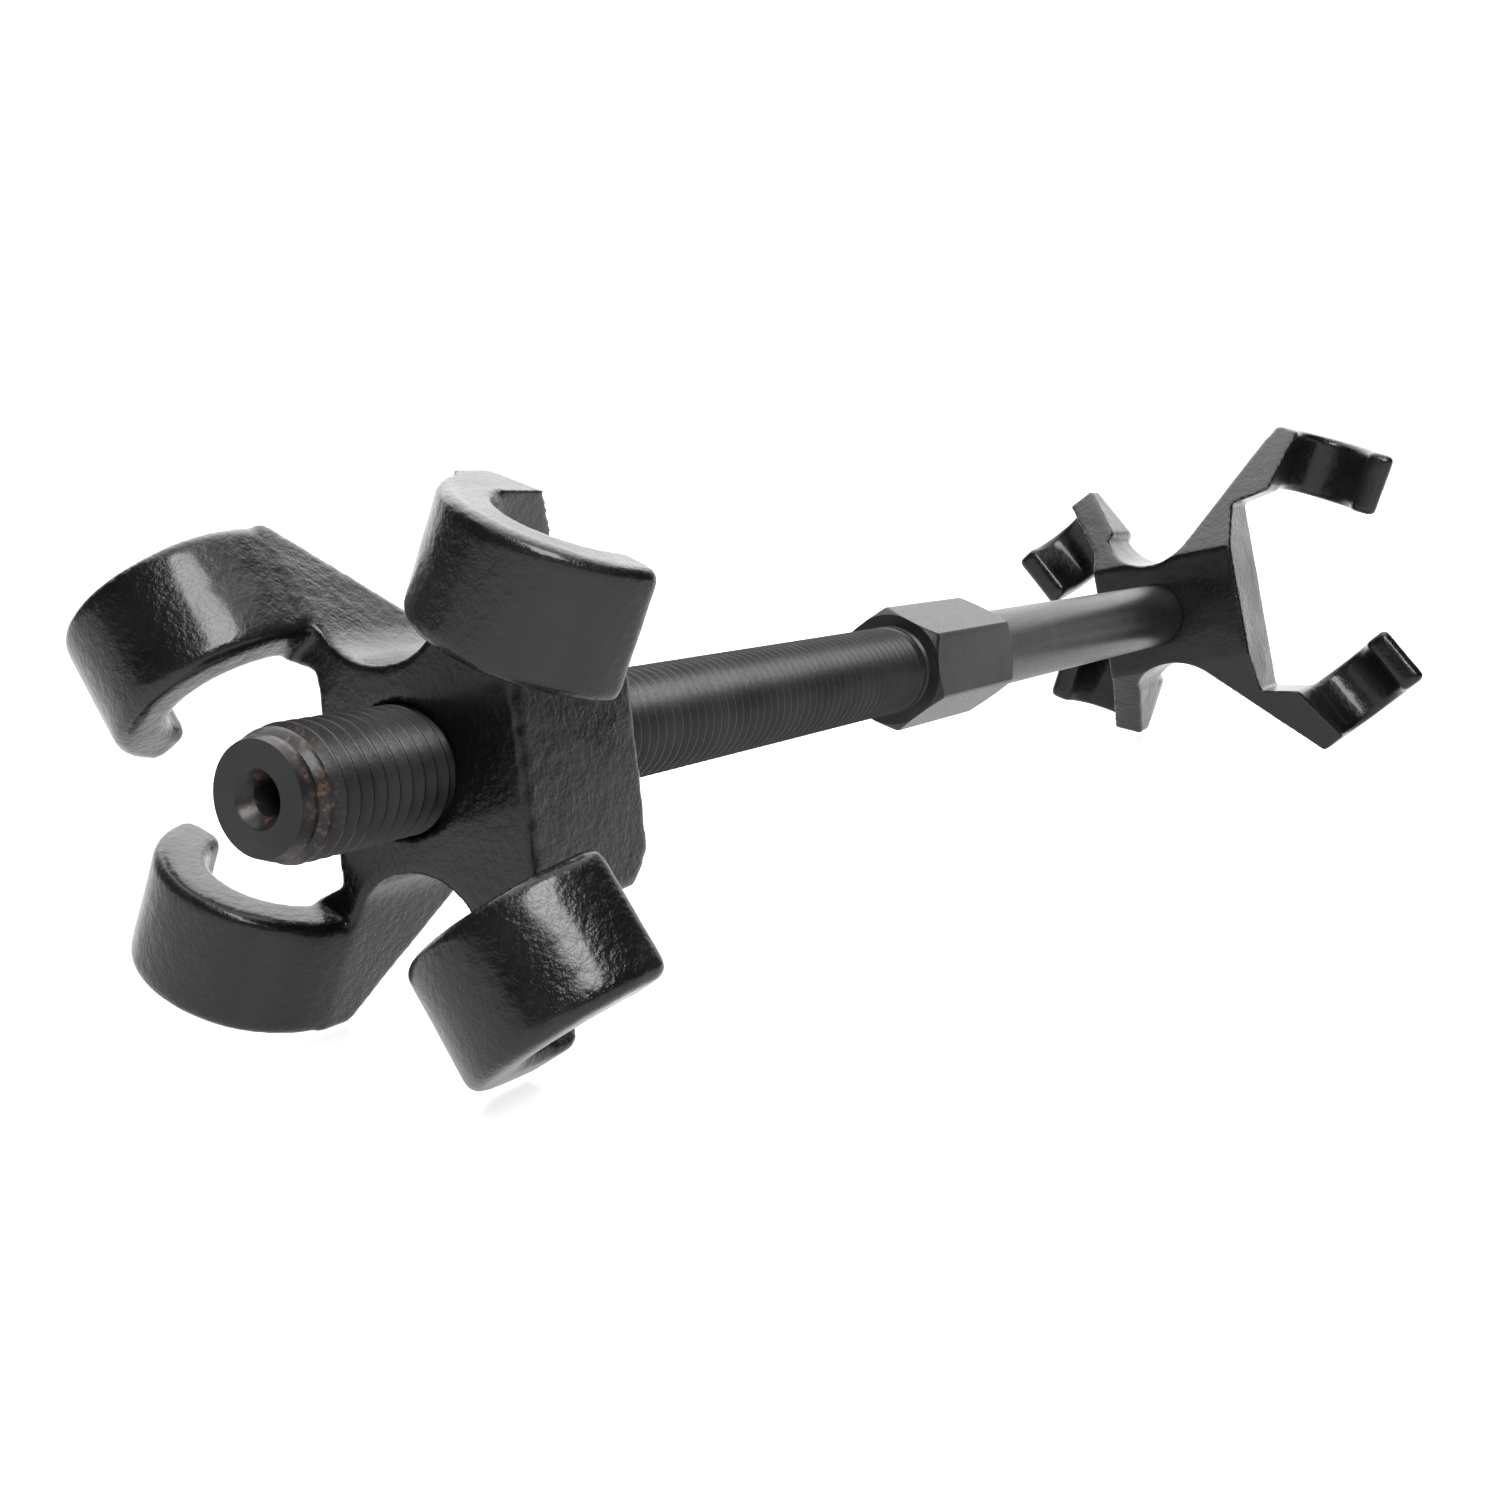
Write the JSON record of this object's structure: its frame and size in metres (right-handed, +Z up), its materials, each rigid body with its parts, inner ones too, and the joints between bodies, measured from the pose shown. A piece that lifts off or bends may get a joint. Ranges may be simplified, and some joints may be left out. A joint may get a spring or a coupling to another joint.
{
  "type": "coil spring compressor",
  "caption": "Hand-turned coil spring compressor with a long forcing screw, a hexagon drive and hooked jaws.",
  "frame": {"origin": "middle of the underside of the whole tool, on the floor it lies on", "axes": "+X along the screw from its threaded end towards the swivel jaw, +Y towards the narrow claws, +Z up"},
  "size_m": [0.4325, 0.1324, 0.1006],
  "materials": {
    "black_paint": "glossy",
    "black_oxide_steel": "satin"
  },
  "bodies": {
    "swivel_jaw": {"swivel_jaw": "black_paint"},
    "screw": {"spindle": "black_oxide_steel", "thrust_washer": "black_oxide_steel", "retaining_nut": "black_oxide_steel", "lock_pin": "black_oxide_steel"},
    "travelling_jaw": {"travelling_jaw": "black_paint"}
  },
  "joints": [
    {"name": "screw_turn", "type": "hinge", "parent": "swivel_jaw", "child": "screw", "pos_m": [-0.21625, 0.01085, 0.0416], "axis": [-1, 0, 0], "range_deg": [-3240, 18000]},
    {"name": "jaw_travel", "type": "slide", "parent": "swivel_jaw", "child": "travelling_jaw", "axis": [1, 0, 0], "range_m": [-0.0229, 0.1271]}
  ],
  "couplings": [
    {"joint": "jaw_travel", "follows": "screw_turn", "m_per_rad": 0.00040425}
  ]
}
